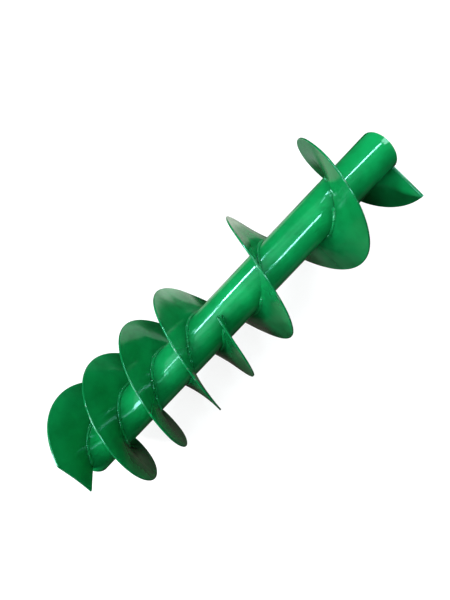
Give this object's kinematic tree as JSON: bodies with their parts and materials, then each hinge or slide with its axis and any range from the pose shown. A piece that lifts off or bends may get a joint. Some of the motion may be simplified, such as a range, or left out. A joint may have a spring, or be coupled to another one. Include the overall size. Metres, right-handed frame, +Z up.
{
  "type": "screw conveyor auger",
  "caption": "Short left-hand screw auger: sheet-metal flighting welded round a steel tube, doubled over one half, with a keyed hub in one end and a sealed ball bearing in the other.",
  "frame": {"origin": "on the auger's axis, at the outer face of the keyed drive hub", "axes": "+X along the axis from the drive end to the bearing end; +Z up with the auger lying level; the drive hub's keyway is on the +Z side"},
  "size_m": [0.5907, 0.18, 0.18],
  "materials": {
    "green_paint": "gloss enamel over rolled steel",
    "painted_weld": "gloss enamel over weld bead",
    "turned_steel": "turned, lightly oiled",
    "bearing_steel": "ground",
    "polished_steel": "polished",
    "nylon": "moulded, matt",
    "seal_rubber": "moulded nitrile",
    "spring_steel": "blackened"
  },
  "bodies": {
    "bearing_inner": {"bearing_inner_ring": "bearing_steel"},
    "rotor": {"core_tube": "green_paint", "flight_main_1": "green_paint", "flight_main_2": "green_paint", "flight_main_3": "green_paint", "flight_main_4": "green_paint", "flight_second_1": "green_paint", "flight_second_2": "green_paint", "main_seam_welds": "painted_weld", "second_seam_weld": "painted_weld", "main_root_weld_runs": "painted_weld", "second_root_weld_runs": "painted_weld", "main_root_weld_stitches": "painted_weld", "second_root_weld_stitches": "painted_weld", "drive_hub_weld": "painted_weld", "idler_hub_weld": "painted_weld", "drive_hub": "turned_steel", "idler_hub": "turned_steel", "bearing_outer_ring": "bearing_steel", "bearing_seal_outboard": "seal_rubber", "bearing_seal_inboard": "seal_rubber", "bearing_retaining_ring": "spring_steel"},
    "ball_set": {"bearing_balls": "polished_steel", "bearing_cage": "nylon"}
  },
  "joints": [
    {"name": "rotor_spin", "type": "hinge", "parent": "bearing_inner", "child": "rotor", "pos_m": [0.57902, 0, 0], "axis": [1, 0, 0], "continuous": true},
    {"name": "ball_set_spin", "type": "hinge", "parent": "bearing_inner", "child": "ball_set", "pos_m": [0.57902, 0, 0], "axis": [1, 0, 0], "continuous": true}
  ],
  "couplings": [
    {"joint": "ball_set_spin", "follows": "rotor_spin", "ratio": 0.6024}
  ]
}
